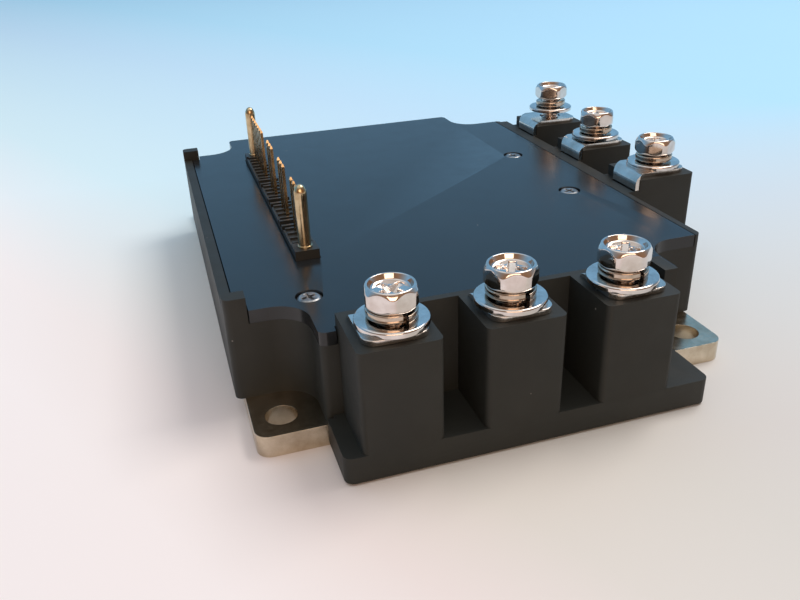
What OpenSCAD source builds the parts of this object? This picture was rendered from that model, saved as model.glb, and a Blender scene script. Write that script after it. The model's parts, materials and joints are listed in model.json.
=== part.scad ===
// Three-phase power module: a moulded case on a plated copper base plate, with a row of
// three screw terminals on the near side and another on the right side, and a control
// pin header along the left side. The origin is the centre of the base plate's lower
// face, X runs along the near terminal row, Y away from it and Z up.

/* [Base plate] */
// Width of the base plate
plate_w = 88; // [86:0.5:88.5]
// Length of the base plate
plate_l = 119.5; // [118.5:0.5:119.5]
// Thickness of the base plate
plate_t = 4; // [3.5:0.25:4.5]
// Rounding of the base plate's corners
plate_r = 2.5; // [1:0.5:4]
// Spacing of the mounting holes across the plate
hole_dx = 78; // [76:0.5:79]
// Spacing of the mounting holes along the plate
hole_dy = 108.5; // [107:0.5:109.5]
// Diameter of the mounting holes
hole_d = 5.5; // [4.5:0.1:6]

/* [Case] */
// Width of the case across its side walls
case_w = 91; // [90:0.5:92]
// Length of the side walls
side_l = 94.4; // [93:0.2:96]
// Width of the middle part between the corner notches
mid_w = 64.6; // [64:0.2:65.4]
// Length of the middle part
mid_l = 118; // [117:0.5:118.5]
// Height of the lid's upper face
case_h = 20.6; // [20:0.1:21.4]
// Height of the terminal towers
tower_h = 23; // [22.5:0.1:24]
// Rounding inside a corner notch
notch_r = 6; // [4:0.5:7]
// Rounding of the upright outer edges
edge_r = 1.2; // [0.6:0.2:1.6]
// Thickness of the lid
lid_t = 2.4; // [2:0.1:2.8]

/* [Terminals] */
// Pitch of the near terminal row
near_pitch = 20; // [19.8:0.1:20.1]
// Place of the near row's first terminal along X
near_x = -22.7; // [-22.9:0.1:-22.5]
// Reach of the near row beyond the origin
near_y = 65; // [64.5:0.1:65.5]
// Pitch of the right terminal row
right_pitch = 25; // [24.6:0.1:25.2]
// Place of the right row's first terminal along Y
right_y = -15; // [-15.2:0.1:-14.8]
// Reach of the right row beyond the origin
right_x = 56; // [55.6:0.1:56.4]
// Width of a terminal tower
tower_w = 13.2; // [12.6:0.2:14]
// Distance from a terminal's axis to its tower's outer face
tower_front = 6.2; // [5.8:0.1:6.4]
// Height of the ledge that the towers stand on
ledge_h = 5.2; // [4.8:0.1:6]
// Width of a terminal bar's upper face
bar_w = 10.4; // [9.6:0.2:11]
// Thickness of a terminal bar
bar_t = 1; // [0.8:0.1:1.1]

/* [Terminal screws] */
// Nominal diameter of the terminal screws
screw_d = 5; // [5]
// Width across flats of the screw heads and nuts
hex_af = 7.9; // [7.8:0.1:8.1]
// Height of a screw head
head_h = 3.5; // [3.4:0.1:4]
// Length of a screw below its head
screw_l = 12; // [11:0.5:12.5]
// Thickness of a nut
nut_t = 4; // [3.6:0.1:4]
// Outer diameter of a flat washer
flat_washer_d = 11.6; // [11:0.2:12.4]
// Thickness of a flat washer
flat_washer_t = 1; // [0.8:0.1:1.2]
// Free height of a spring washer
spring_washer_h = 1.8; // [1.5:0.1:2]

/* [Control header] */
// Distance of the header's centre line from the origin
header_x = -28; // [-28.4:0.1:-27.6]
// Width of the header strip
header_w = 4.6; // [4:0.2:4.8]
// Height of the header's blocks
header_h = 22.4; // [22:0.1:22.8]
// Place of the near guide pin along Y
guide_near = -28.4; // [-28.6:0.1:-28]
// Place of the far guide pin along Y
guide_far = 36.4; // [36.2:0.1:37]
// Diameter of the guide pins
guide_d = 2.4; // [2:0.1:2.6]
// Height of the guide pins' tips
guide_h = 34.6; // [33:0.2:36]
// Pitch of the control pins
pin_pitch = 2.54; // [2.54]
// Side of a control pin
pin_s = 0.64; // [0.5:0.02:0.7]
// Height of the control pins' tips
pin_h = 33.2; // [32:0.2:34]

/* [Power stage] */
// Length of a ceramic tile across the module
tile_w = 66.5; // [66:0.5:66.5]
// Width of a ceramic tile
tile_l = 20; // [19.5:0.5:20]
// Pitch of the four tiles
tile_pitch = 21.6; // [21.4:0.1:21.6]
// Thickness of a ceramic tile
tile_t = 0.6; // [0.4:0.1:0.6]
// Thickness of the copper on either side of a tile
foil_t = 0.3; // [0.2:0.05:0.3]
// Thickness of the semiconductor chips
chip_t = 0.4; // [0.3:0.05:0.4]
// Height of the silicone gel's surface
gel_h = 7.6; // [7.4:0.1:7.8]

/* [Hidden] */
$fn = 64;
// A small length that carries a cut clear of a face
eps = 0.01;

// Case walls: below the control board, and above it
wall_low = 3.2;
wall_high = 1.8;
board_z = 15;
board_t = 1.6;
board_inset = 2;
lid_z = case_h - lid_t;
// Inner faces of the left and right rims, and the seam beside the lid
rim_left = -43.6;
rim_right = 44.2;
seam = 0.2;
// Corner posts at the ends of the left rim
post_w = 3.8;
post_l = 3;
// Faces of the two terminal blocks
ledge_z = 0.4;
ledge_r = 1.5;
plate_gap = 0.15;
near_back = near_y - mid_l / 2;
near_face = near_y + tower_front;
near_ledge = [-mid_w / 2, 32];
right_ledge = [-24.5, 46];
right_inner = 47.4;
right_back = right_x - right_inner;
right_face = right_x + tower_front;
tower_r = 1;
raised_t = 1.4;
raised_near = [near_x - tower_w / 2, 28.8];
shelf = [right_y - tower_w / 2, right_ledge[1]];
rib_w = 2.5;
rib_l = 4;
// Terminal bars: set-back of the upright leg and of the outer edge, and inner levels
bar_setback = 0.4;
bar_front = 5;
bar_r = 2.2;
bend_r = 1.8;
right_leg = [-6.4, 2.8];
slot_w = 0.4;
nut_top = tower_h - 0.4;
slot_depth = 2;
strip_w = 5;
foot_w = 2.4;
level_low = 8;
level_mid = 10.5;
level_high = 12.5;
// Power stage levels
track_z = plate_t + 2 * foil_t + tile_t;
chip_z = track_z + chip_t;
tile_x = -2.25;
foil_margin = 0.8;
chip_s = 5.4;
igbt_x = [-15, 10.7];
diode_x = [3.5, -8.3];
strip_x = [-28.5, 30];
strip_p = [3.4, 9.2];
strip_out = [-3.1, 2.6];
strip_n = [-9.2, -4];
finger_y = 8;
finger_w = 2;
bus_x = [38.6, 41.6];
finger_x = [28, 25];
brake_foot_x = 27.5;
brake_foot_shift = -1.4;
// Signal leads from the tiles to the control board
lead_d = 0.8;
lead_x = [-33.5, -31];
lead_y = 5;
lead_h = board_z + board_t + 0.8;
// Cover screws and their bosses
cover_screw_at = [[-31, -45.5], [34.7, -15], [34.7, 14.5]];
boss_d = 5.4;
boss_rib = 1.6;
boss_rib_z = 12;
cover_d = 2.5;
cover_head_d = 4.4;
cover_head_h = 1.4;
cover_sunk = 0.1;
cover_l = 8;
// Header blocks and pin groups: first pin of each group and its number of pins
header_low = 21.2;
header_y = [guide_near - 2, guide_far + 2];
header_gap = 0.15;
group_y = [-24.2, -10.2, 3.9, 17.9];
group_n = [3, 3, 3, 7];
block_end = 1.5;
pin_tail = 1.2;
// Each screw's turn about its axis, its shift along X in its clearance hole, and how far its
// flat washer and its head stand up where it isn't tightened
near_turn = [18, 46, 42];
near_shift = [0.5, -0.3, -0.6];
right_turn = [-61, -28, -62];
right_shift = [-0.3, -0.6, -0.5];
washer_lift = [0, 0.4, 1.8];
head_lift = [0, 0.6, 2.3];
// Shoulder at the foot of a guide pin
shoulder_d = guide_d + 0.4;
shoulder_h = header_h + 0.4;
// Washers
spring_d = 8;
spring_b = 1.35;
spring_t = 1.3;
spring_steps = 24;
spring_gap = 14;
washer_bore = 5.3;
stack_z = tower_h + bar_t;
head_z = stack_z + flat_washer_t + spring_washer_h;

// Points of an arc about c, from angle a to angle b in n steps
function arc(c, r, a, b, n) =
    [for (i = [0:n]) let (t = a + (b - a) * i / n) c + r * [cos(t), sin(t)]];
function mirrored(p, sx, sy) = [for (q = p) [q[0] * sx, q[1] * sy]];
function backwards(p) = [for (i = [len(p) - 1:-1:0]) p[i]];

// A quarter of the case's outline, moved inwards by the inset d: side wall end, notch,
// end of the middle part
function outline_quarter(d) = concat(
    arc([case_w / 2 - d - edge_r, side_l / 2 - d - edge_r], edge_r, 0, 90, 4),
    arc([mid_w / 2 + notch_r, side_l / 2 + notch_r], notch_r + d, 270, 180, 12),
    arc([mid_w / 2 - d - edge_r, mid_l / 2 - d - edge_r], edge_r, 0, 90, 4));
function outline(d) = let (q = outline_quarter(d)) concat(
    q, backwards(mirrored(q, -1, 1)), mirrored(q, -1, -1), backwards(mirrored(q, 1, -1)));

// A rectangle from p to q whose corners on the -Y side are rounded
module front_rounded(p, q, r, steps = 4) {
    polygon(concat(
        [[q[0], q[1]], [p[0], q[1]]],
        arc([p[0] + r, p[1] + r], r, 180, 270, steps),
        arc([q[0] - r, p[1] + r], r, 270, 360, steps)));
}

module box(p, q) {
    translate(p) cube(q - p);
}

// Puts children on every terminal's centre line; each child sees its tower reach towards -Y
module at_right() {
    for (i = [0:2]) translate([right_x, right_y + i * right_pitch, 0]) rotate(90) children();
}
// Puts children on every screw's axis, with that screw's turn and lifts
module at_screws() {
    for (i = [0:2]) {
        let ($turn = near_turn[i], $washer = 0, $head = 0)
            translate([near_x + i * near_pitch + near_shift[i], -near_y, 0]) children();
        let ($turn = right_turn[i], $washer = washer_lift[i], $head = head_lift[i])
            translate([right_x + right_shift[i], right_y + i * right_pitch, 0]) rotate(90) children();
    }
}

module base_plate() {
    color("silver") difference() {
        linear_extrude(plate_t) polygon(concat(
            arc([plate_w / 2 - plate_r, plate_l / 2 - plate_r], plate_r, 0, 90, 6),
            arc([plate_r - plate_w / 2, plate_l / 2 - plate_r], plate_r, 90, 180, 6),
            arc([plate_r - plate_w / 2, plate_r - plate_l / 2], plate_r, 180, 270, 6),
            arc([plate_w / 2 - plate_r, plate_r - plate_l / 2], plate_r, 270, 360, 6)));
        for (x = [-1, 1], y = [-1, 1])
            translate([x * hole_dx / 2, y * hole_dy / 2, -1]) cylinder(d = hole_d, h = plate_t + 2);
    }
}

// One terminal tower between two levels, with its back face at distance back
module tower(back, z0 = ledge_h - eps, z1 = tower_h) {
    translate([0, 0, z0]) linear_extrude(z1 - z0)
        front_rounded([-tower_w / 2, -tower_front], [tower_w / 2, back], tower_r);
}

// Pocket for the captive nut and the end of the screw
module nut_pocket() {
    translate([0, 0, nut_top - nut_t]) cylinder(d = (hex_af + 0.2) / cos(30), h = nut_t + 1, $fn = 6);
    translate([0, 0, head_z - screw_l - 0.5]) cylinder(d = screw_d + 0.8, h = screw_l);
}

module near_block() {
    translate([0, 0, ledge_z]) linear_extrude(ledge_h - ledge_z)
        front_rounded([near_ledge[0], -near_face], [near_ledge[1], -plate_l / 2 - plate_gap], ledge_r);
    box([near_ledge[0] + edge_r, 1 - plate_l / 2 - plate_gap - 1.2, plate_t],
        [near_ledge[1], 1 - mid_l / 2, ledge_h]);
    for (i = [0:2]) translate([near_x + i * near_pitch, -near_y, 0]) tower(near_back + eps);
    box([raised_near[0], -mid_l / 2, lid_z - 1], [raised_near[1], raised_t - mid_l / 2, tower_h]);
    box([raised_near[1] - rib_w, -mid_l / 2 - rib_l, ledge_h - eps],
        [raised_near[1], eps - mid_l / 2, tower_h]);
}

module right_block() {
    translate([0, 0, ledge_z]) rotate(90) linear_extrude(ledge_h - ledge_z)
        front_rounded([right_ledge[0], -right_face], [right_ledge[1], -plate_w / 2 - plate_gap], ledge_r);
    box([case_w / 2 - 1, right_ledge[0], plate_t], [right_inner, right_ledge[1], ledge_h]);
    box([case_w / 2 - 1, shelf[0], ledge_h - 1], [right_inner, shelf[1], case_h]);
    at_right() {
        tower(right_back + 1, ledge_h - eps, case_h);
        tower(right_back - bar_t, case_h - 1, tower_h);
    }
}

// Slot in the shelf in front of a right-hand terminal bar's leg
module leg_slot() {
    translate([right_leg[0], right_back - eps, case_h - slot_depth])
        cube([right_leg[1] - right_leg[0], slot_w + eps, slot_depth + 1]);
}

module case_walls() {
    difference() {
        translate([0, 0, plate_t]) linear_extrude(lid_z - plate_t) polygon(outline(0));
        translate([0, 0, plate_t - 1]) linear_extrude(board_z - plate_t + 1) polygon(outline(wall_low));
        translate([0, 0, board_z - eps]) linear_extrude(lid_z - board_z + 1) polygon(outline(wall_high));
    }
}

// The rims beside the lid and the two posts at the ends of the left rim
module case_rims() {
    intersection() {
        translate([0, 0, lid_z - eps]) linear_extrude(tower_h - lid_z) polygon(outline(0));
        union() {
            box([-case_w / 2, -side_l / 2, lid_z - eps], [rim_left, side_l / 2, case_h]);
            box([rim_right, -side_l / 2, lid_z - eps], [case_w / 2, side_l / 2, case_h]);
            for (y = [-1, 1]) translate([-case_w / 2, y * (side_l - post_l) / 2 - post_l / 2, lid_z - eps])
                cube([post_w, post_l, tower_h - lid_z + eps]);
        }
    }
}

module case() {
    color([0.09, 0.09, 0.1]) difference() {
        union() {
            case_walls();
            case_rims();
            near_block();
            right_block();
            for (p = cover_screw_at)
                translate([p[0], p[1], plate_t]) cylinder(d = boss_d, h = lid_z - plate_t);
            for (k = [1, 2]) box([cover_screw_at[k][0], cover_screw_at[k][1] - boss_rib / 2, boss_rib_z],
                                 [case_w / 2 - 1, cover_screw_at[k][1] + boss_rib / 2, board_z]);
        }
        at_screws() nut_pocket();
        at_right() leg_slot();
        for (i = [0:2]) {
            terminal_bar_near(i);
            terminal_bar_right(i);
        }
        for (p = cover_screw_at)
            translate([p[0], p[1], lid_z - cover_l]) cylinder(d = cover_d + 0.1, h = cover_l + 1);
    }
}

module lid() {
    color([0.1, 0.1, 0.11]) difference() {
        translate([0, 0, lid_z]) linear_extrude(lid_t) difference() {
            intersection() {
                polygon(outline(0));
                translate([rim_left + seam, -mid_l / 2]) square([rim_right - rim_left - 2 * seam, mid_l]);
            }
            translate([raised_near[0] - seam, -mid_l / 2 - 1])
                square([raised_near[1] - raised_near[0] + 2 * seam, raised_t + seam + 1]);
            for (y = [-1, 1])
                translate([-case_w / 2, y * (side_l - post_l) / 2 - post_l / 2 - (y > 0 ? seam : 1)])
                    square([post_w + seam, post_l + seam + 1]);
            translate([header_x - header_w / 2 - header_gap, header_y[0] - header_gap])
                square([header_w + 2 * header_gap, header_y[1] - header_y[0] + 2 * header_gap]);
        }
        for (p = cover_screw_at) translate([p[0], p[1], 0]) {
            cylinder(d = cover_d + 0.3, h = case_h);
            translate([0, 0, case_h - cover_head_h - cover_sunk]) cylinder(d = cover_head_d + 0.4, h = 3);
        }
    }
}

// Head and upright leg of a terminal bar: the plan cut from a strip that is bent over at
// the distance back; the leg ends at the level z
module bar_head(plan, back, z, shift) {
    top = tower_h + bar_t;
    inner_r = bend_r - bar_t;
    difference() {
        intersection() {
            translate([0, 0, z]) linear_extrude(top - z) polygon(plan);
            rotate([90, 0, 90]) translate([0, 0, -tower_w / 2]) linear_extrude(tower_w) polygon(concat(
                [[-near_y, tower_h], [-near_y, top]],
                arc([back - bend_r, top - bend_r], bend_r, 90, 0, 6),
                [[back, z], [back - bar_t, z]],
                arc([back - bend_r, top - bend_r], inner_r, 0, 90, 6)));
        }
        translate([shift[0], shift[1], tower_h - 1]) cylinder(d = screw_d + 0.5, h = bar_t + 2);
    }
}

// Plan of a bar: its front corners are rounded; at the back it takes the corners given
function bar_plan(corners) = concat(
    corners,
    arc([bar_r - bar_w / 2, bar_r - bar_front], bar_r, 180, 270, 5),
    arc([bar_w / 2 - bar_r, bar_r - bar_front], bar_r, 270, 360, 5));

// Output bar of the near row: its strip runs inwards and a foot comes down on tile i
module terminal_bar_near(i) {
    x = near_x + i * near_pitch;
    back = near_back - bar_setback;
    y_end = tile_y(i) + (strip_out[0] + strip_out[1]) / 2;
    color("gainsboro") {
        translate([x, -near_y, 0])
            bar_head(bar_plan([[bar_w / 2, back], [-bar_w / 2, back]]), back, level_low,
                [near_shift[i], 0]);
        box([x - strip_w / 2, back - near_y - eps, level_low], [x + strip_w / 2, y_end, level_low + bar_t]);
        box([x - strip_w / 2, y_end - bar_t, track_z], [x + strip_w / 2, y_end, level_low + eps]);
    }
}

// A busbar of the right row: a rail along Y with a finger down to every tile
module bus(side, level, reach) {
    box([bus_x[0], tile_y(0) + side * finger_y - finger_w / 2, level],
        [bus_x[1], tile_y(3) + side * finger_y + finger_w / 2, level + bar_t]);
    for (i = [0:3]) {
        y = tile_y(i) + side * finger_y;
        box([reach, y - finger_w / 2, level], [bus_x[0] + eps, y + finger_w / 2, level + bar_t]);
        box([reach, y - finger_w / 2, track_z], [reach + bar_t, y + finger_w / 2, level + eps]);
    }
}

// Bars of the right row: the positive bus, the negative bus and the brake output
module terminal_bar_right(i) {
    y = right_y + i * right_pitch;
    back = right_back;
    plan = bar_plan([
        [bar_w / 2, back - 3], [right_leg[1], back],
        [right_leg[0], back], [right_leg[0], back - 1], [-bar_w / 2, back - 3]]);
    level = [level_low, level_mid, level_high][i];
    x_end = i == 2 ? brake_foot_x : bus_x[1] - eps;
    color("gainsboro") {
        translate([right_x, y, 0]) rotate(90) bar_head(plan, back, level, [0, -right_shift[i]]);
        box([x_end, y - strip_w / 2, level], [right_x - back + eps, y + strip_w / 2, level + bar_t]);
        if (i == 0) bus(1, level, finger_x[0]);
        if (i == 1) bus(-1, level, finger_x[1]);
        if (i == 2) box([x_end, y + brake_foot_shift - foot_w / 2, track_z],
                        [x_end + bar_t, y + brake_foot_shift + foot_w / 2, level + eps]);
    }
}

module terminal_nuts() {
    color("silver") at_screws() translate([0, 0, nut_top - nut_t]) difference() {
        cylinder(d = hex_af / cos(30), h = nut_t, $fn = 6);
        translate([0, 0, -1]) cylinder(d = screw_d, h = nut_t + 2);
    }
}

// Cross-shaped driver recess: wings of width w inside a cone that narrows downwards
module cross_recess(w, d1, d2, depth) {
    intersection() {
        for (a = [0, 90]) rotate(a) translate([-w / 2, -d1, -depth]) cube([w, 2 * d1, depth + 1]);
        translate([0, 0, -depth]) cylinder(d1 = d2, d2 = d1, h = depth);
    }
}

// Hexagon whose corners are rounded with radius r
function round_hexagon(af, r) = [
    for (k = [0:5]) let (c = (af / 2 - r) / cos(30))
        each arc(c * [cos(60 * k), sin(60 * k)], r, 60 * k - 30, 60 * k + 30, 3)];

// Cold-formed hexagon head: rounded corners, both ends chamfered, a deep flat-bottomed dish
// inside a narrow rim, and a cross recess
module screw_head() {
    wide = hex_af / cos(30) / 2;
    dish = 0.95;
    difference() {
        intersection() {
            rotate($turn) linear_extrude(head_h) polygon(round_hexagon(hex_af, 1.5));
            rotate_extrude() polygon([
                [0, 0], [hex_af / 2 - 0.2, 0], [wide, 0.9], [wide, head_h - 1.3],
                [hex_af / 2 - 0.2, head_h], [0, head_h]]);
        }
        translate([0, 0, head_h - dish]) cylinder(d1 = hex_af * 0.77, d2 = hex_af * 0.87, h = dish + eps);
        translate([0, 0, head_h - dish + eps]) rotate($turn + 14) cross_recess(1.25, 5.7, 1.6, 1.6);
    }
}

module terminal_screws() {
    color("gainsboro") at_screws() {
        translate([0, 0, head_z + $head]) screw_head();
        translate([0, 0, head_z + $head - screw_l]) {
            cylinder(d1 = screw_d - 1, d2 = screw_d - 0.1, h = 0.6);
            translate([0, 0, 0.6]) cylinder(d = screw_d - 0.1, h = screw_l - 0.6 + eps);
        }
    }
}

// A split ring of rectangular section that climbs by its free height less its thickness
module spring_washer() {
    r = [spring_d / 2 - spring_b, spring_d / 2];
    rise = spring_washer_h - spring_t;
    n = spring_steps;
    ring = [for (i = [0:n]) let (a = spring_gap / 2 + (360 - spring_gap) * i / n, z = rise * i / n)
        each [for (c = [[r[0], 0], [r[1], 0], [r[1], spring_t], [r[0], spring_t]])
            [c[0] * cos(a), c[0] * sin(a), z + c[1]]]];
    sides = [for (i = [0:n - 1], k = [0:3])
        [4 * i + k, 4 * i + 4 + k, 4 * i + 4 + (k + 1) % 4, 4 * i + (k + 1) % 4]];
    polyhedron(ring, concat([[0, 1, 2, 3]], sides, [[4 * n + 3, 4 * n + 2, 4 * n + 1, 4 * n]]));
}

module spring_washers() {
    color("silver") at_screws() translate([0, 0, stack_z + flat_washer_t + $washer])
        rotate(-75) spring_washer();
}

module flat_washers() {
    color("silver") at_screws() translate([0, 0, stack_z + $washer]) difference() {
        cylinder(d = flat_washer_d, h = flat_washer_t);
        translate([0, 0, -1]) cylinder(d = washer_bore, h = flat_washer_t + 2);
    }
}

module cover_screws() {
    color("silver") for (p = cover_screw_at)
        translate([p[0], p[1], case_h - cover_sunk - cover_head_h]) difference() {
            union() {
                cylinder(d = cover_head_d, h = cover_head_h - 0.4);
                translate([0, 0, cover_head_h - 0.4])
                    cylinder(d1 = cover_head_d, d2 = cover_head_d - 1, h = 0.4);
                translate([0, 0, lid_z - case_h + cover_sunk + cover_head_h - cover_l + 0.5])
                    cylinder(d = cover_d, h = cover_l + 0.6);
            }
            translate([0, 0, cover_head_h]) rotate(20) cross_recess(0.6, 2.8, 1, 1);
        }
}

function group_last(g) = group_y[g] + (group_n[g] - 1) * pin_pitch;

// Moulded strip: end blocks for the guide pins, a block for each pin group with a low
// wall across it between the pins, and cross ribs in the gaps between the groups
module pin_header() {
    x0 = header_x - header_w / 2;
    x1 = header_x + header_w / 2;
    color([0.08, 0.08, 0.08]) difference() {
        union() {
            box([x0, header_y[0], board_z + board_t], [x1, header_y[1], header_low]);
            box([x0, header_y[0], header_low - eps], [x1, guide_near + 2.2, header_h]);
            box([x0, guide_far - 1.4, header_low - eps], [x1, header_y[1], header_h]);
            for (g = [0:3]) {
                box([x0, group_y[g] - block_end, header_low - eps],
                    [x1, group_last(g) + block_end, header_h - 0.4]);
                for (k = [0:group_n[g]]) box(
                    [x0 + 0.4, group_y[g] + (k - 0.5) * pin_pitch - 0.35, header_low],
                    [x1 - 0.4, group_y[g] + (k - 0.5) * pin_pitch + 0.35, header_h]);
            }
            for (g = [0:2], s = [-1, 1]) let (c = (group_last(g) + group_y[g + 1]) / 2)
                box([x0, c + s * 1.4 - 0.4, header_low - eps], [x1, c + s * 1.4 + 0.4, header_h]);
        }
        for (y = [guide_near, guide_far])
            translate([header_x, y, board_z]) cylinder(d = shoulder_d, h = 10);
        for (g = [0:3], k = [0:group_n[g] - 1])
            translate([header_x, group_y[g] + k * pin_pitch, header_h / 2])
                cube([pin_s, pin_s, header_h], center = true);
    }
}

// Round guide pin: a shoulder in the header, a straight shank and a bullet tip
module guide_pin(y) {
    r = guide_d / 2;
    tip = 1.8;
    z0 = board_z + board_t;
    color("goldenrod") translate([header_x, y, 0]) rotate_extrude() polygon(concat(
        [[0, z0], [shoulder_d / 2, z0], [shoulder_d / 2, shoulder_h], [r, shoulder_h]],
        [for (i = [0:6]) [r * cos(15 * i), guide_h - tip + tip * sin(15 * i)]]));
}

// Square control pins of group g, from below the control board to their pointed tips
module control_pins(g) {
    tip = 0.6;
    color("goldenrod") for (k = [0:group_n[g] - 1])
        translate([header_x, group_y[g] + k * pin_pitch, 0]) {
            translate([-pin_s / 2, -pin_s / 2, board_z - pin_tail])
                cube([pin_s, pin_s, pin_h - tip - board_z + pin_tail]);
            translate([0, 0, pin_h - tip]) rotate(45)
                cylinder(d1 = pin_s * sqrt(2), d2 = pin_s * 0.6, h = tip, $fn = 4);
        }
}

module control_board() {
    color("darkgreen") difference() {
        translate([0, 0, board_z]) linear_extrude(board_t) polygon(outline(board_inset));
        for (p = cover_screw_at)
            translate([p[0], p[1], board_z - 1]) cylinder(d = boss_d + 0.4, h = board_t + 2);
        for (i = [0:3], x = lead_x, s = [-1, 1])
            translate([x, tile_y(i) + s * lead_y, board_z - 1]) cylinder(d = lead_d + 0.1, h = board_t + 2);
        for (g = [0:3], k = [0:group_n[g] - 1])
            translate([header_x, group_y[g] + k * pin_pitch, board_z])
                cube([pin_s, pin_s, 2 * board_t + 1], center = true);
    }
}

module driver_chips() {
    color([0.15, 0.15, 0.15]) for (i = [0:3])
        box([2, tile_y(i) - 4, board_z + board_t], [9, tile_y(i) + 4, lid_z - 0.15]);
}

function tile_y(i) = (i - 1.5) * tile_pitch;

module signal_leads() {
    color("goldenrod") for (i = [0:3], x = lead_x, s = [-1, 1])
        translate([x, tile_y(i) + s * lead_y, track_z])
            cylinder(d = lead_d, h = lead_h - track_z, $fn = 24);
}

module copper_backing(i) {
    color("peru") translate([tile_x, tile_y(i), plate_t + foil_t / 2])
        cube([tile_w - 2 * foil_margin, tile_l - 2 * foil_margin, foil_t], center = true);
}

module ceramic_tile(i) {
    color("white") translate([tile_x, tile_y(i), plate_t + foil_t + tile_t / 2])
        cube([tile_w, tile_l, tile_t], center = true);
}

// Positive, output and negative tracks, and the four pads of the signal leads
module copper_tracks(i) {
    color("peru") translate([0, tile_y(i), track_z - foil_t]) {
        for (s = [strip_p, strip_out, strip_n]) translate([strip_x[0], s[0], 0])
            cube([strip_x[1] - strip_x[0], s[1] - s[0], foil_t]);
        for (x = lead_x, s = [-1, 1]) translate([x - 0.9, s * lead_y - 1.5, 0]) cube([1.8, 3, foil_t]);
    }
}

// One chip on the positive track and one on the output track, at the given places
module chips(i, x, s) {
    for (k = [0, 1]) let (c = k == 0 ? strip_p : strip_out)
        translate([x[k] - s / 2, tile_y(i) + (c[0] + c[1]) / 2 - s / 2, track_z]) cube([s, s, chip_t]);
}

module igbt_chips(i) {
    color("dimgray") chips(i, igbt_x, chip_s);
}

module diode_chips(i) {
    color("gray") chips(i, diode_x, chip_s - 0.6);
}

// An aluminium ribbon of width w that arches from y0 on a chip down to y1 on a track
module ribbon(y0, y1, w) {
    t = 0.25;
    foot = 1.2;
    top = chip_z + 1.3;
    rotate([90, 0, 90]) translate([0, 0, -w / 2]) linear_extrude(w) polygon([
        [y0 + foot, chip_z], [y0, chip_z], [y0 - 1, top - t], [y1 + 1, top - t], [y1, track_z],
        [y1 - foot, track_z], [y1 - foot, track_z + t], [y1 - 0.2, track_z + t], [y1 + 0.85, top],
        [y0 - 0.85, top], [y0 + 0.2, chip_z + t], [y0 + foot, chip_z + t]]);
}

module bond_ribbons(i) {
    color("lightgray") translate([0, tile_y(i), 0]) {
        for (x = [igbt_x[0], diode_x[0]]) translate([x, 0, 0]) ribbon(5.2, 1.8, 3);
        for (x = [igbt_x[1], diode_x[1]]) translate([x, 0, 0]) ribbon(-0.8, -5.2, 3);
    }
}

// Soft potting over the tiles, cut around everything that stands in it
module silicone_gel() {
    color([0.8, 0.85, 0.9]) difference() {
        translate([0, 0, plate_t]) linear_extrude(gel_h - plate_t) polygon(outline(wall_low));
        for (p = cover_screw_at) translate([p[0], p[1], plate_t - 1]) cylinder(d = boss_d, h = gel_h);
        for (i = [0:3]) {
            copper_backing(i);
            ceramic_tile(i);
            copper_tracks(i);
            igbt_chips(i);
            diode_chips(i);
            bond_ribbons(i);
        }
        for (i = [0:2]) {
            terminal_bar_near(i);
            terminal_bar_right(i);
        }
        signal_leads();
    }
}

base_plate();
case();
lid();
for (i = [0:2]) {
    terminal_bar_near(i);
    terminal_bar_right(i);
}
terminal_nuts();
terminal_screws();
spring_washers();
flat_washers();
cover_screws();
pin_header();
guide_pin(guide_near);  // guide_pin_near
guide_pin(guide_far);  // guide_pin_far
control_board();
driver_chips();
signal_leads();
for (i = [0:3]) {
    control_pins(i);
    copper_backing(i);
    ceramic_tile(i);
    copper_tracks(i);
    igbt_chips(i);
    diode_chips(i);
    bond_ribbons(i);
}
silicone_gel();
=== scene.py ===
# %% [markdown]
# # A power module, dressed for a product picture
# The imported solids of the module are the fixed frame. Everything here works in metres,
# in the frame's own axes: X along the near row of screw terminals, Y across the case,
# Z up. A solid whose form is right keeps its place and gets rounded edges and a
# material; small turned and wound parts are worked out again with numpy.

# %% Load the frame
import json
import math

import bmesh
import bpy
import numpy as np
from mathutils import Matrix, Vector


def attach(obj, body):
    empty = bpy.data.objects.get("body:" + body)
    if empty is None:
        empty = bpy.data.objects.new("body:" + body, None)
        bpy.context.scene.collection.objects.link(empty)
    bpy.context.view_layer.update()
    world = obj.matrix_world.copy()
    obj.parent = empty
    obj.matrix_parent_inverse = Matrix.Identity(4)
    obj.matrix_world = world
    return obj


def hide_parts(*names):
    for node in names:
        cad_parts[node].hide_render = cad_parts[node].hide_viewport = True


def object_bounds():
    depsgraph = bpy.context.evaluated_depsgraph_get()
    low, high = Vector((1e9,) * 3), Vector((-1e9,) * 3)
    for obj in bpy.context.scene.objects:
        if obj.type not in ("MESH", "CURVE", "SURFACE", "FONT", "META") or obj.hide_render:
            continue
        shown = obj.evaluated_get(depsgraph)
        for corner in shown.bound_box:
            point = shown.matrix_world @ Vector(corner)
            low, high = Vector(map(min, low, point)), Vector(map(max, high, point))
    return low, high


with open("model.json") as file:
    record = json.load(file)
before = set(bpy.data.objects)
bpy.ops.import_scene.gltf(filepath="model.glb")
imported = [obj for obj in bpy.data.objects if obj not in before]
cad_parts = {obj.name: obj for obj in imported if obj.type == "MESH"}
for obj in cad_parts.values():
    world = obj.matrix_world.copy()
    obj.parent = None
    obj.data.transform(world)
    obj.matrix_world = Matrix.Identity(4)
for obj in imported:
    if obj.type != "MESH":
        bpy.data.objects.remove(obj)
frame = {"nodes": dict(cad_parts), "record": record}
cad_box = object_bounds()
MM = 0.001
print("solids in the frame:", len(frame["nodes"]))

# %% [markdown]
# ## Camera
# A product picture is taken from a little above, close to one corner, so that both
# terminal rows show. The camera is given by where it stands and by three turns, as a
# tripod head has them: pan from straight ahead, tilt below the horizon, and roll.

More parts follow.
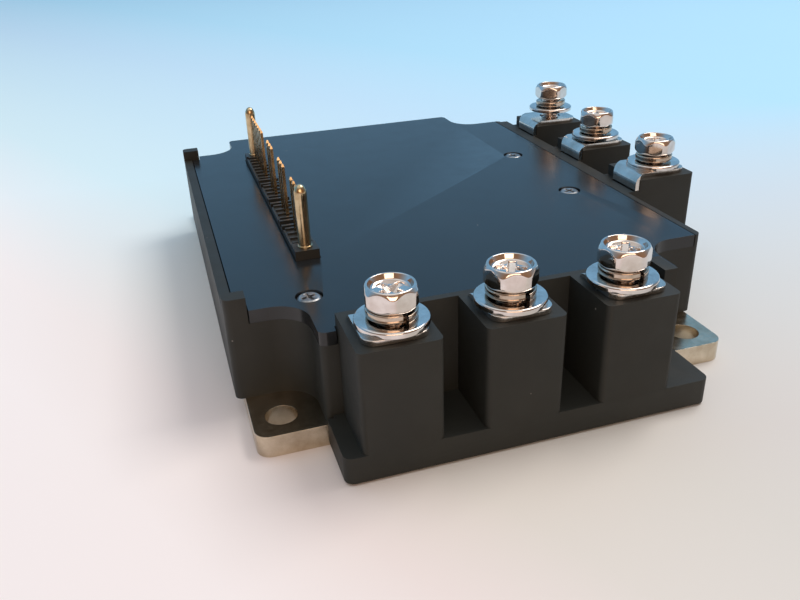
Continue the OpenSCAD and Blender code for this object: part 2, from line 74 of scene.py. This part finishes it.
# %% Camera
def head_axes(pan, tilt, roll):
    """Right, up and backward axes of a camera. Forward is the unit vector at angle pan
    from +Y towards +X and at angle tilt from the horizon; right and up are level with
    it, then turned about it by roll."""
    forward = np.array([math.sin(pan) * math.cos(tilt), math.cos(pan) * math.cos(tilt),
            math.sin(tilt)])
    level = np.array([math.cos(pan), -math.sin(pan), 0.0])
    above = np.cross(level, forward)
    right = level * math.cos(roll) + above * math.sin(roll)
    up = above * math.cos(roll) - level * math.sin(roll)
    return right, up, -forward


right, up, back = head_axes(*np.radians([16.72, -27.06, -2.17]))
camera = bpy.data.objects.new("camera", bpy.data.cameras.new("camera"))
camera.data.sensor_width = 36.0
camera.data.lens = 35.24
camera.data.clip_start = 0.005
camera.matrix_world = Matrix(
    [[*map(float, row)] for row in np.column_stack(
    [right, up, back, np.array([-50.4, -163.4, 79.7]) * MM])]
    + [[0.0, 0.0, 0.0, 1.0]])
bpy.context.scene.collection.objects.link(camera)
bpy.context.scene.camera = camera
bpy.context.scene.view_settings.view_transform = "Standard"
print("camera stands at", [round(v, 4) for v in camera.location])

# %% [markdown]
# ## Helpers for materials
# Every finish below is a small node tree. Colours are written as sRGB hex values, as a
# paint chart gives them, and one function turns them to the linear values that Blender
# computes with. One more function adds a node together with its settings and links, so
# that a tree reads as a list of what feeds what.

# %% Helpers for materials
def colour(hex_value):
    """Linear RGBA of an sRGB hex value: each channel below 0.04045 is divided by 12.92,
    and any other is ((c + 0.055) / 1.055) to the power 2.4."""
    c = np.array([int(hex_value[i:i + 2], 16) for i in (1, 3, 5)]) / 255.0
    linear = np.where(c <= 0.04045, c / 12.92, ((c + 0.055) / 1.055) ** 2.4)
    return (*map(float, linear), 1.0)


def add(tree, kind, inputs=None, **settings):
    """Adds a node. settings are its properties; inputs maps a socket's name or number
    to a value or to the output socket that feeds it."""
    node = tree.nodes.new(kind)
    for name, value in settings.items():
        setattr(node, name, value)
    for key, value in (inputs or {}).items():
        if isinstance(value, bpy.types.NodeSocket):
            tree.links.new(value, node.inputs[key])
        else:
            node.inputs[key].default_value = value
    return node


def ramp(tree, factor, stops):
    """Adds a colour ramp with the given (position, colour) stops."""
    node = add(tree, "ShaderNodeValToRGB", {"Fac": factor})
    bar = node.color_ramp
    while len(bar.elements) < len(stops):
        bar.elements.new(0.5)
    for element, (position, value) in zip(bar.elements, stops):
        element.position = position
        element.color = value
    return node.outputs["Color"]


def grey(v):
    return (v, v, v, 1.0)


def per_mm(size):
    """Texture scale, in cells to the metre, for cells of this size in millimetres."""
    return 1.0 / (size * MM)


def surface(name):
    """A new material with its tree, its coordinates and its shader."""
    made = bpy.data.materials.new(name)
    made.use_nodes = True
    tree = made.node_tree
    where = add(tree, "ShaderNodeTexCoord").outputs["Object"]
    return made, tree, where, tree.nodes["Principled BSDF"]


finish = {}
print("helpers ready")

# %% [markdown]
# ## Moulded plastic
# The case is injection-moulded from a glass-filled polyester (PBT). The mould was
# spark-eroded, which leaves a fine even grain of about 0.15 mm; glass fibres near the
# skin make the gloss a little patchy, and handling leaves a few dust specks. The lid is
# the same plastic from a polished mould, so it mirrors its surroundings softly. The
# grain is drawn at 0.3 mm, twice its size, because it would not show otherwise.

# %% Moulded plastic
def moulded(name, base, light, gloss, grain_mm, grain_depth, specks, shine):
    """Black plastic: base colour with cloudy patches towards light, roughness that
    wanders between the two values of gloss, mould grain as bump, dust specks, and shine
    as the strength of its mirror reflection."""
    made, tree, where, shader = surface(name)
    cloud = add(tree, "ShaderNodeTexNoise", {"Vector": where, "Scale": per_mm(14), "Detail": 5.0,
            "Roughness": 0.6})
    film = ramp(tree, cloud.outputs["Fac"], [(0.32, colour(base)), (0.72, colour(light))])
    cells = add(tree, "ShaderNodeTexVoronoi", {"Vector": where, "Scale": per_mm(7.5),
            "Randomness": 1.0})
    speck = ramp(tree, cells.outputs["Distance"], [(0.012, grey(specks)), (0.024, grey(0.0))])
    # A mix node's colour sockets share their names with others, so they are set by number
    dusty = add(tree, "ShaderNodeMix", {"Factor": speck, 6: film, 7: colour("#A9A7A2")},
            data_type="RGBA")
    patches = add(tree, "ShaderNodeTexNoise", {"Vector": where, "Scale": per_mm(5), "Detail": 6.0,
            "Roughness": 0.65})
    rough = add(tree, "ShaderNodeMapRange", {"Value": patches.outputs["Fac"], "From Min": 0.3,
            "From Max": 0.7,
                                             "To Min": gloss[0], "To Max": gloss[1]})
    grain = add(tree, "ShaderNodeTexNoise", {"Vector": where, "Scale": per_mm(grain_mm),
            "Detail": 3.0})
    wave = add(tree, "ShaderNodeTexNoise", {"Vector": where, "Scale": per_mm(9), "Detail": 1.0})
    relief = add(tree, "ShaderNodeMath", {0: wave.outputs["Fac"], 1: 4.0, 2: grain.outputs["Fac"]},
            operation="MULTIPLY_ADD")
    bump = add(tree, "ShaderNodeBump", {"Height": relief.outputs[0], "Strength": 0.35,
            "Distance": grain_depth * MM})
    tree.links.new(dusty.outputs[2], shader.inputs["Base Color"])
    tree.links.new(rough.outputs["Result"], shader.inputs["Roughness"])
    tree.links.new(bump.outputs["Normal"], shader.inputs["Normal"])
    shader.inputs["IOR"].default_value = 1.5
    shader.inputs["Specular IOR Level"].default_value = shine
    return made


# Material slot: name, base and light colour, roughness from and to, grain and its depth
# in millimetres, strength of the dust specks, strength of the mirror reflection
plastics = {
    "moulded_plastic": ("glass_filled_polyester", "#242725", "#2B2D2A", (0.48, 0.6), 0.3, 0.015,
    0.8, 0.3),
    "lid_plastic": ("polished_polyester", "#16191B", "#1A1E21", (0.2, 0.27), 0.35, 0.003, 0.4, 0.5),
    "header_plastic": ("smooth_polyester", "#242523", "#2E2F2D", (0.34, 0.46), 0.25, 0.008, 0.0,
    0.4),
    "chip_plastic": ("moulding_compound", "#141414", "#1F1F1F", (0.5, 0.65), 0.2, 0.01, 0.0, 0.4)}
for slot, row in plastics.items():
    finish[slot] = moulded(*row)
print("plastics:", sorted(finish))

# %% [markdown]
# ## Plated metal
# The base plate is copper under a dull electroless nickel, ground before plating, so it
# has faint straight lines. The terminal bars have the same plating and stay brighter.
# The screws and washers are steel with a bright nickel plate over a tumbled surface.
# Nickel is a slightly warm grey. A metal has no colour of its own beside its
# reflections, so the roughness and fine bump do the work.

# %% Plated metal
def plated(name, tint, dark, gloss, grain_mm, stretch, depth, stain_mm):
    """Metal: tint with stains towards dark, roughness that wanders between the two
    values of gloss, and bump from a noise stretched along X, Y and Z."""
    made, tree, where, shader = surface(name)
    stain = add(tree, "ShaderNodeTexNoise", {"Vector": where, "Scale": per_mm(stain_mm),
            "Detail": 6.0, "Roughness": 0.62})
    base = ramp(tree, stain.outputs["Fac"], [(0.3, colour(dark)), (0.62, colour(tint))])
    along = add(tree, "ShaderNodeMapping", {"Vector": where, "Scale": stretch})
    lines = add(tree, "ShaderNodeTexNoise", {"Vector": along.outputs[0], "Scale": per_mm(grain_mm),
            "Detail": 4.0})
    rough = add(tree, "ShaderNodeMapRange", {"Value": lines.outputs["Fac"], "From Min": 0.3,
            "From Max": 0.7,
                                             "To Min": gloss[0], "To Max": gloss[1]})
    bump = add(tree, "ShaderNodeBump", {"Height": lines.outputs["Fac"], "Strength": 0.5,
            "Distance": depth * MM})
    tree.links.new(base, shader.inputs["Base Color"])
    tree.links.new(rough.outputs["Result"], shader.inputs["Roughness"])
    tree.links.new(bump.outputs["Normal"], shader.inputs["Normal"])
    shader.inputs["Metallic"].default_value = 1.0
    return made


# Material slot: name, tint, tint of the stains, roughness from and to, grain in
# millimetres, its stretch along X, Y and Z, depth of its bump, size of the stains
metals = {
    "nickel_plated_copper": ("dull_nickel_plate", "#DCD0BC", "#B4A48C", (0.16, 0.27), 0.8,
    (0.5, 1, 1), 0.003, 6.0),
    "nickel_plated_bar": ("satin_nickel_plate", "#E0DAD4", "#BDB4AB", (0.12, 0.2), 0.4, (1, 1, 1),
    0.003, 6.0),
    "nickel_plated_steel": ("bright_nickel_plate", "#E6DFDA", "#CFC4BC", (0.05, 0.11), 0.8,
    (1, 1, 1), 0.003, 2.5),
    "washer_steel": ("tumbled_nickel_plate", "#E2DDD9", "#C5BEB8", (0.08, 0.15), 0.5, (1, 1, 1),
    0.003, 3.0),
    "spring_steel": ("wound_nickel_plate", "#CDBEAE", "#A39280", (0.1, 0.2), 0.4, (1, 1, 0.5),
    0.005, 2.0),
    "screw_steel": ("zinc_plate", "#A9AAAB", "#6F7072", (0.3, 0.45), 0.3, (1, 1, 1), 0.01, 1.5),
    "zinc_plated_steel": ("clear_zinc_plate", "#C2C4C6", "#8D9093", (0.25, 0.4), 0.4, (1, 1, 1),
    0.01, 2.5),
    "gilt_brass": ("turned_brass_pin", "#D2BE9A", "#A58C66", (0.14, 0.24), 0.3, (1, 1, 0.12), 0.003,
    2.5),
    "gilt_pins": ("gilt_brass_pin", "#CDB68F", "#97805E", (0.18, 0.3), 0.25, (1, 1, 0.12), 0.004,
    2.0),
    "lead_brass": ("tinned_brass_lead", "#C9B48C", "#8F7A58", (0.25, 0.38), 0.3, (1, 1, 0.2), 0.006,
    2.0),
    "copper": ("rolled_copper", "#C87A58", "#8E4C34", (0.28, 0.42), 0.3, (0.1, 1, 1), 0.005, 3.0),
    "ribbon_aluminium": ("drawn_aluminium", "#D5D6D8", "#A5A7AA", (0.25, 0.4), 0.2, (1, 0.1, 1),
    0.005, 2.0)}
for slot, row in metals.items():
    finish[slot] = plated(*row)
print("metals:", [finish[slot].name for slot in metals])

# %% [markdown]
# ## Inner materials
# These sit under the lid and show only when the module is taken apart: a green solder
# mask over glass cloth, sintered alumina, sawn silicon and a clear silicone gel.

# %% Inner materials
def inner(name, base, light, rough, cell_mm, ior, clear=0.0):
    """A matt material whose colour wanders from base to light in cells of cell_mm."""
    made, tree, where, shader = surface(name)
    mottle = add(tree, "ShaderNodeTexNoise", {"Vector": where, "Scale": per_mm(cell_mm),
            "Detail": 4.0})
    tree.links.new(ramp(tree, mottle.outputs["Fac"], [(0.35, colour(base)), (0.65, colour(light))]),
                   shader.inputs["Base Color"])
    bump = add(tree, "ShaderNodeBump", {"Height": mottle.outputs["Fac"], "Strength": 0.3,
            "Distance": 0.02 * MM})
    tree.links.new(bump.outputs["Normal"], shader.inputs["Normal"])
    shader.inputs["Roughness"].default_value = rough
    shader.inputs["IOR"].default_value = ior
    shader.inputs["Transmission Weight"].default_value = clear
    return made


finish["circuit_board"] = inner("solder_mask", "#0E4A2A", "#135C36", 0.35, 0.8, 1.5)
finish["white_ceramic"] = inner("sintered_alumina", "#E6E3DA", "#F0EEE8", 0.5, 0.4, 1.76)
finish["silicon"] = inner("sawn_silicon", "#4A4C52", "#63666D", 0.25, 0.6, 1.9)
finish["gel"] = inner("silicone_gel_potting", "#DDE4E6", "#EDF2F3", 0.1, 6.0, 1.41, 0.9)

for part in frame["record"]["subparts"]:
    data = frame["nodes"][part["node"]].data
    data.materials.clear()
    data.materials.append(finish[part["material_slot"]])
slot_of = {part["node"]: part["material_slot"] for part in frame["record"]["subparts"]}
print("finished nodes:", len(slot_of))

# %% [markdown]
# ## Rounded edges
# No moulded or stamped edge is a perfect corner: a mould has radii of a few tenths of a
# millimetre, and these catch the light as thin bright lines. A copy of the solid is
# merged into flat faces and a Bevel modifier rounds every edge sharper than a limit.
# The copy takes the solid's place; bevelling only cuts corners, so it stays inside.

# %% Rounded edges
def dressed(node_name, piece_name, radius_mm, limit=32.0, segments=3):
    """A copy of a solid with its loose triangles merged, its coplanar faces joined, and
    its edges sharper than limit degrees rounded with the given radius."""
    source = frame["nodes"][node_name]
    mesh = source.data.copy()
    shape = bmesh.new()
    shape.from_mesh(mesh)
    bmesh.ops.remove_doubles(shape, verts=shape.verts, dist=2e-6)
    bmesh.ops.dissolve_limit(shape, angle_limit=math.radians(0.6), verts=shape.verts,
            edges=shape.edges)
    shape.to_mesh(mesh)
    shape.free()
    mesh.name = piece_name
    mesh.shade_smooth()
    mesh.set_sharp_from_angle(angle=math.radians(limit))
    piece = bpy.data.objects.new(piece_name, mesh)
    bpy.context.scene.collection.objects.link(piece)
    rounding = piece.modifiers.new("rounding", "BEVEL")
    rounding.width = radius_mm * MM
    rounding.segments = segments
    rounding.limit_method = "ANGLE"
    rounding.angle_limit = math.radians(limit)
    rounding.harden_normals = True
    rounding.use_clamp_overlap = True
    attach(piece, "root")
    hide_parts(node_name)
    return piece


rounded = {
    "case": ("case_moulding", 0.25), "lid": ("lid_moulding", 0.1),
    "base_plate": ("ground_base_plate", 0.6),
    "pin_header": ("header_moulding", 0.08), "cover_screws": ("cover_screw_heads", 0.08)}
for side in ("near", "right"):
    for number in (1, 2, 3):
        rounded[f"terminal_bar_{side}_{number}"] = (f"stamped_bar_{side}_{number}", 0.12)
for node_name, (piece_name, radius) in rounded.items():
    made = dressed(node_name, piece_name, radius)
    print(piece_name, "faces before rounding:", len(made.data.polygons))

# %% [markdown]
# ## Turned, formed and wound pieces
# Screw heads, washers and guide pins are round or nearly round, and the eye reads their
# roundness from the reflections in them. So they are worked out as fine grids: a path
# in a plane through the axis, carried round the axis, with every corner of the path
# eased as tumbling and plating do it.

# %% Turned, formed and wound pieces
def eased(path, reach, steps=4, closed=False):
    """Rounds the corners of a path. path has shape (points, columns, 2), reach is how
    far each corner is cut back. A corner K between its cut points A and B becomes the
    curve (1 - t) squared times A, plus 2 t (1 - t) K, plus t squared times B."""
    if closed:
        path = np.concatenate([path[-1:], path, path[:1]])
    corner, before, after = path[1:-1], path[:-2] - path[1:-1], path[2:] - path[1:-1]
    reach = np.broadcast_to(reach, (len(corner),))[:, None, None]

    def cut(side):
        length = np.linalg.norm(side, axis=2, keepdims=True)
        return corner + side * np.minimum(0.45, reach / np.maximum(length, 1e-9))

    t = np.linspace(0.0, 1.0, steps + 1)[None, :, None, None]
    curve = ((1 - t) ** 2 * cut(before)[:, None] + 2 * t * (1 - t) * corner[:, None]
             + t ** 2 * cut(after)[:, None]).reshape(-1, *path.shape[1:])
    return curve if closed else np.concatenate([path[:1], curve, path[-1:]])


def shell(x, y, z, wrap_rows=False, poles=False):
    """Corners, quads and triangles of a grid whose columns wrap. Its rows either wrap
    too, as on a ring, or run from one pole to the other, as on a turned solid."""
    points = np.stack([x, y, z], -1)
    rows, columns = x.shape
    i = np.arange(rows if wrap_rows else rows - 1)[:, None]
    j = np.arange(columns)[None, :]
    step = (j + 1) % columns
    quads = np.stack(np.broadcast_arrays(i * columns + j, i * columns + step,
            (i + 1) % rows * columns + step,
                                         (i + 1) % rows * columns + j), -1).reshape(-1, 4)
    points = points.reshape(-1, 3)
    if not poles:
        return points, quads, np.empty((0, 3), int)
    last = (rows - 1) * columns
    ends = np.stack([points[:columns].mean(0), points[last:].mean(0)])
    j, step = j[0], step[0]
    fans = np.concatenate([np.stack([np.full(columns, len(points)), step, j], -1),
                           np.stack([np.full(columns, len(points) + 1), last + j, last + step],
                           -1)])
    return np.concatenate([points, ends]), quads, fans


def formed(name, shells, node_name, sharp=40.0):
    """One piece in metres from shells in millimetres, in the place of a solid."""
    starts = np.cumsum([0] + [len(points) for points, _, _ in shells])
    faces = [face for start, (_, quads, fans) in zip(starts, shells)
             for face in (quads + start).tolist() + (fans + start).tolist()]
    mesh = bpy.data.meshes.new(name)
    mesh.from_pydata(np.concatenate([points for points, _, _ in shells]) * MM, [], faces)
    mesh.shade_smooth()
    mesh.set_sharp_from_angle(angle=math.radians(sharp))
    mesh.materials.append(finish[slot_of[node_name]])
    piece = bpy.data.objects.new(name, mesh)
    bpy.context.scene.collection.objects.link(piece)
    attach(piece, "root")
    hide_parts(node_name)
    print(name, "faces:", len(faces))


def turned(path, centre, reach=0.1, columns=48, base=0.0):
    """Shell of a turned solid: path holds (radius, height) from the axis at the bottom,
    outwards and up, back to the axis, and is carried round an upright axis."""
    angle = np.linspace(0.0, 2 * np.pi, columns, endpoint=False)[None, :]
    line = np.broadcast_to(np.array(path, float)[:, None, :], (len(path), columns, 2))
    line = eased(line, reach)
    line = line[1:-1]
    return shell(centre[0] + line[..., 0] * np.cos(angle), centre[1] + line[..., 0] * np.sin(angle),
                 base + line[..., 1], poles=True)


# Each screw's axis, the turn of its hexagon in degrees, and how far its flat washer and
# its head stand up, in millimetres. Below it: heights and widths of the stack, the dish
# and its cross recess, and the thread.
SCREWS = [(-22.2, -65, 18, 0, 0), (-3.0, -65, 46, 0, 0), (16.7, -65, 42, 0, 0),
          (55.7, -15, 29, 0, 0), (55.4, 10, 62, 0.4, 0.6), (55.5, 35, 28, 1.8, 2.3)]
BAR_TOP, WASHER_T, SPRING_H, SPRING_T, HEAD_H, AF = 24.0, 1.0, 1.8, 1.3, 3.5, 7.9
DISH, RECESS, ARM_EDGE, ARM_SOFT = 0.95, 1.6, 0.68, 0.16
CREST, GROOVE, TIP = 2.48, 0.42, 0.7


def hexagon(angle, flats, corner):
    """Radius of a hexagon with corners at 0, 60, 120 degrees and so on, rounded. Near a
    corner it is the far side of a circle about a centre at distance c: c cos a plus the
    root of corner squared less (c sin a) squared. Elsewhere it is half the width across
    flats over the cosine of the angle from the flat's middle."""
    a = np.abs((angle + np.pi / 6) % (np.pi / 3) - np.pi / 6)
    c = (flats / 2 - corner) / math.cos(np.pi / 6)
    limit = math.atan2(corner * 0.5, c + corner * math.cos(np.pi / 6))
    arc = c * np.cos(a) + np.sqrt(np.maximum(corner ** 2 - (c * np.sin(a)) ** 2, 0.0))
    return np.where(a < limit, arc, flats / 2 / np.cos(np.pi / 6 - a))


def screw_head(x, y, turn, base, columns=120):
    """Shell of a cold-formed head. Its side follows the rounded hexagon between two
    cones; the top is a rim round a dish; the cross recess is cut into the dish's floor
    as a soft step across each arm, deepest at the centre."""
    angle = np.linspace(0.0, 2 * np.pi, columns, endpoint=False)
    side = hexagon(angle, AF, 1.5)
    rim, wide = AF / 2 - 0.2, AF / 2 / math.cos(np.pi / 6)
    beyond = (side - rim) / (wide - rim)
    flat = np.ones(columns)
    path = np.stack([np.stack([r * flat, h * flat], -1) for r, h in (
        (1.0, 0.0), (rim, 0.0), (side, 0.9 * beyond), (side, HEAD_H - 1.3 * beyond), (rim, HEAD_H),
        (AF * 0.435, HEAD_H), (AF * 0.39, HEAD_H - DISH), (AF * 0.33, HEAD_H - DISH))])
    path = eased(path, [0.15, 0.3, 0.35, 0.2, 0.12, 0.25])
    r = np.linspace(AF * 0.325, 0.04, 26)[:, None] * flat
    across = angle - math.radians(14)
    arm = np.minimum(np.abs(r * np.sin(across)), np.abs(r * np.cos(across)))
    soft = np.clip((ARM_EDGE - arm) / ARM_SOFT, 0.0, 1.0)
    sunk = soft * soft * (3 - 2 * soft) * np.clip(RECESS * (2.85 - r) / 2.05, 0.0, RECESS)
    floor = np.stack([r, HEAD_H - DISH - sunk], -1)
    path = np.concatenate([path, floor])
    world = angle + math.radians(turn)
    return shell(x + path[..., 0] * np.cos(world), y + path[..., 0] * np.sin(world),
            base + path[..., 1], poles=True)


def thread(x, y, top, length=12.0, pitch=0.8, columns=24, per_turn=8):
    """Shell of a threaded shank. The radius falls from 2.48 mm at the crests to the
    roots as a rounded triangle wave of height plus turn, and tapers at the tip."""
    height = np.arange(0.0, length + 0.2, pitch / per_turn)[:, None]
    angle = np.linspace(0.0, 2 * np.pi, columns, endpoint=False)[None, :]
    wave = np.abs(((height / pitch - angle / (2 * np.pi)) % 1.0) * 2 - 1)
    radius = (CREST - GROOVE * (3 * wave ** 2 - 2 * wave ** 3)) - 0.5 * np.clip(1 - height / TIP,
            0.0, 1.0)
    return shell(x + radius * np.cos(angle), y + radius * np.sin(angle),
                 np.broadcast_to(top - length + height, radius.shape), poles=True)


shells = []
for x, y, turn, _, lift in SCREWS:
    base = BAR_TOP + WASHER_T + SPRING_H + lift
    shells += [screw_head(x, y, turn, base), thread(x, y, base)]
formed("hexagon_screws", shells, "terminal_screws", 50)


def punched_washer(x, y, base, outer=5.8, bore=2.65, columns=96):
    """Shell of a flat washer: a ring whose upper outer edge is rolled over by the punch."""
    angle = np.linspace(0.0, 2 * np.pi, columns, endpoint=False)[None, :]
    ring = np.array([(outer, 0.0), (outer, WASHER_T), (bore, WASHER_T), (bore, 0.0)])
    line = eased(np.broadcast_to(ring[:, None, :], (4, columns, 2)), [0.12, 0.42, 0.2, 0.1], 5,
            closed=True)
    return shell(x + line[..., 0] * np.cos(angle), y + line[..., 0] * np.sin(angle),
            base + line[..., 1], wrap_rows=True)


def wound_washer(x, y, start, base, outer=4.0, inner=2.65, gap=14.0, turns=72):
    """Shell of a spring washer: a rounded section carried round the axis while it climbs
    evenly; its two cut ends are closed."""
    run = np.linspace(0.0, 1.0, turns)[:, None]
    angle = np.radians(start + gap / 2 + (360.0 - gap) * run)
    section = np.array([(outer, SPRING_T), (outer, 0.0), (inner, 0.0), (inner, SPRING_T)])[:, None,
            :]
    section = eased(section, 0.3, 4, closed=True)[:, 0, :]
    r, h = section[None, :, 0], section[None, :, 1]
    return shell(x + r * np.cos(angle), y + r * np.sin(angle),
            base + h + (SPRING_H - SPRING_T) * run, poles=True)


formed("punched_washers", [punched_washer(x, y, BAR_TOP + lift) for x, y, _, lift, _ in SCREWS],
        "flat_washers")
formed("wound_spring_washers", [
    wound_washer(x, y, -75 if y < -60 else 15, BAR_TOP + WASHER_T + lift) for x, y, _, lift,
    _ in SCREWS],
    "spring_washers")

# Height of a guide pin's foot, shoulder, the start of its round end, and its top
FOOT, SHOULDER, ROUND, TOP = 16.6, 22.8, 32.8, 34.6
WIDE, SLIM = 1.4, 1.2
for end, y in (("near", -28.4), ("far", 36.4)):
    bullet = [(SLIM * math.cos(a), ROUND + 1.8 * math.sin(a)) for a in np.linspace(0.0, 1.45, 12)]
    foot = [(0.0, FOOT), (0.5, FOOT), (WIDE, FOOT), (WIDE, SHOULDER), (SLIM, SHOULDER)]
    formed(f"turned_guide_pin_{end}", [turned(foot + bullet + [(0.0, TOP)], (-28.0, y), 0.08)],
           f"guide_pin_{end}", 45)

# %% [markdown]
# ## Stage
# A sheet of pale card lies under the module. Light is painted into its colour: a painted
# warm light near the camera and to the left, painted shade that makes it greyer to the
# right, and far off a painted blue of the daylight behind. These painted tints are in its own
# material, so the lamps stay at a plain level.

# %% Stage
card, tree, where, shader = surface("card_painted_light")
axes = add(tree, "ShaderNodeSeparateXYZ", {"Vector": where})
slant = add(tree, "ShaderNodeMath", {0: axes.outputs["X"], 1: 2.0, 2: axes.outputs["Y"]},
        operation="MULTIPLY_ADD")


def along(value, start, end, stops):
    """A ramp whose stops are given in millimetres along a value in metres."""
    span = add(tree, "ShaderNodeMapRange", {"Value": value, "From Min": start * MM,
            "From Max": end * MM})
    return ramp(tree, span.outputs["Result"], [((at - start) / (end - start), colour(tint)) for at,
            tint in stops])


# Painted light near the front: a warm white near the camera and to the left, and painted shade that
# turns the card greyer towards the right and the back
front_painted_light = along(slant.outputs[0], -220, 60,
        [(-190, "#F4EFF0"), (-146, "#EBE3E2"), (-105, "#DFDDD9"),
                                                 (-50, "#D9D9D6"), (0, "#D6D6D6")])
# Painted blue daylight far off: the card turns from white on the left to sky blue towards the right
# and the back
far_painted_daylight = along(slant.outputs[0], -160, 800, [(-150, "#FAFAFD"), (-92, "#E6F5FD"),
        (-28, "#D6F2FD"), (83, "#CCECFD"),
                                                (240, "#C2E5FD"), (500, "#B1E2FD"),
                                                (770, "#AFE0FD")])
# The painted warm light is used near the front and the painted blue daylight towards the back
deep = add(tree, "ShaderNodeMapRange", {"Value": axes.outputs["Y"], "From Min": -80 * MM,
        "From Max": 100 * MM})
tint = add(tree, "ShaderNodeMix", {"Factor": deep.outputs["Result"], 6: front_painted_light, 7: far_painted_daylight},
        data_type="RGBA")
fibre = add(tree, "ShaderNodeTexNoise", {"Vector": where, "Scale": per_mm(1.5), "Detail": 4.0})
bump = add(tree, "ShaderNodeBump", {"Height": fibre.outputs["Fac"], "Strength": 0.1,
        "Distance": 0.05 * MM})
tree.links.new(tint.outputs[2], shader.inputs["Base Color"])
tree.links.new(bump.outputs["Normal"], shader.inputs["Normal"])
shader.inputs["Roughness"].default_value = 0.8
shader.inputs["Specular IOR Level"].default_value = 0.2
across, ahead = np.meshgrid(np.linspace(-4, 4, 9), np.linspace(-4, 4, 9))
flat = np.full_like(across, cad_box[0][2] - 0.02 * MM)
row, column = np.meshgrid(np.arange(8), np.arange(8), indexing="ij")
first = (row * 9 + column).reshape(-1)
sheet = bpy.data.meshes.new("card_floor")
sheet.from_pydata(np.stack([across, ahead, flat], -1).reshape(-1, 3), [],
                  np.stack([first, first + 1, first + 10, first + 9], -1).tolist())
sheet.materials.append(card)
floor = bpy.data.objects.new("card_floor", sheet)
bpy.context.scene.collection.objects.link(floor)
print("floor level, mm:", round(floor.data.vertices[0].co.z / MM, 3))

# %% [markdown]
# ## Light
# Daylight: blue low in the north behind the module, where the lid and the washers
# mirror it, and white overhead. The room on the camera's side is a warm brown, which
# shows as golden bands low on the screws. A soft lamp high on the right throws the
# faint shadow on the left, and a wide warm panel in front looks into the gaps.

# %% Light
world = bpy.data.worlds.new("daylight_room")
bpy.context.scene.world = world
world.use_nodes = True
tree = world.node_tree
tree.nodes.clear()
direction = add(tree, "ShaderNodeTexCoord").outputs["Generated"]
axes = add(tree, "ShaderNodeSeparateXYZ", {"Vector": direction})
north = add(tree, "ShaderNodeMapRange", {"Value": axes.outputs["Y"], "From Min": -1.0,
        "From Max": 1.0})
low = ramp(tree, north.outputs["Result"], [(0.0, colour("#A9805F")), (0.25, colour("#A5846C")),
        (0.5, colour("#9AA6B0")),
                                           (0.72, colour("#8FC3EE")), (1.0, colour("#95CBF4"))])
height = add(tree, "ShaderNodeMapRange", {"Value": axes.outputs["Z"], "From Min": 0.6,
        "From Max": 0.92},
             interpolation_type="SMOOTHSTEP")
room = add(tree, "ShaderNodeMix", {"Factor": height.outputs["Result"], 6: low,
        7: (1.15, 1.15, 1.15, 1.0)}, data_type="RGBA")
lit = add(tree, "ShaderNodeBackground", {"Color": room.outputs[2], "Strength": 0.8})
add(tree, "ShaderNodeOutputWorld", {"Surface": lit.outputs[0]})


def panel(name, place_m, size, watts, tint):
    """A rectangular lamp at a point, turned to face the module's centre."""
    lamp = bpy.data.objects.new(name, bpy.data.lights.new(name, "AREA"))
    lamp.data.shape = "RECTANGLE"
    lamp.data.size, lamp.data.size_y = size
    lamp.data.energy = watts
    lamp.data.color = colour(tint)[:3]
    lamp.location = place_m
    aim = Vector((0.0, 0.0, 0.01)) - Vector(place_m)
    lamp.rotation_euler = aim.to_track_quat("-Z", "Y").to_euler()
    bpy.context.scene.collection.objects.link(lamp)


panel("lamp_right", (0.62, 0.12, 1.0), (0.6, 0.6), 7.0, "#FFF4EA")
panel("panel_front", (-0.25, -1.3, 0.6), (1.1, 0.6), 6.0, "#FFDCC0")

# %% [markdown]
# ## Sizes
# The dressed module has to measure what the solids measure; the solids' box is printed here.

# %% Sizes
print("solids:", [[round(v / MM, 2) for v in corner] for corner in cad_box])
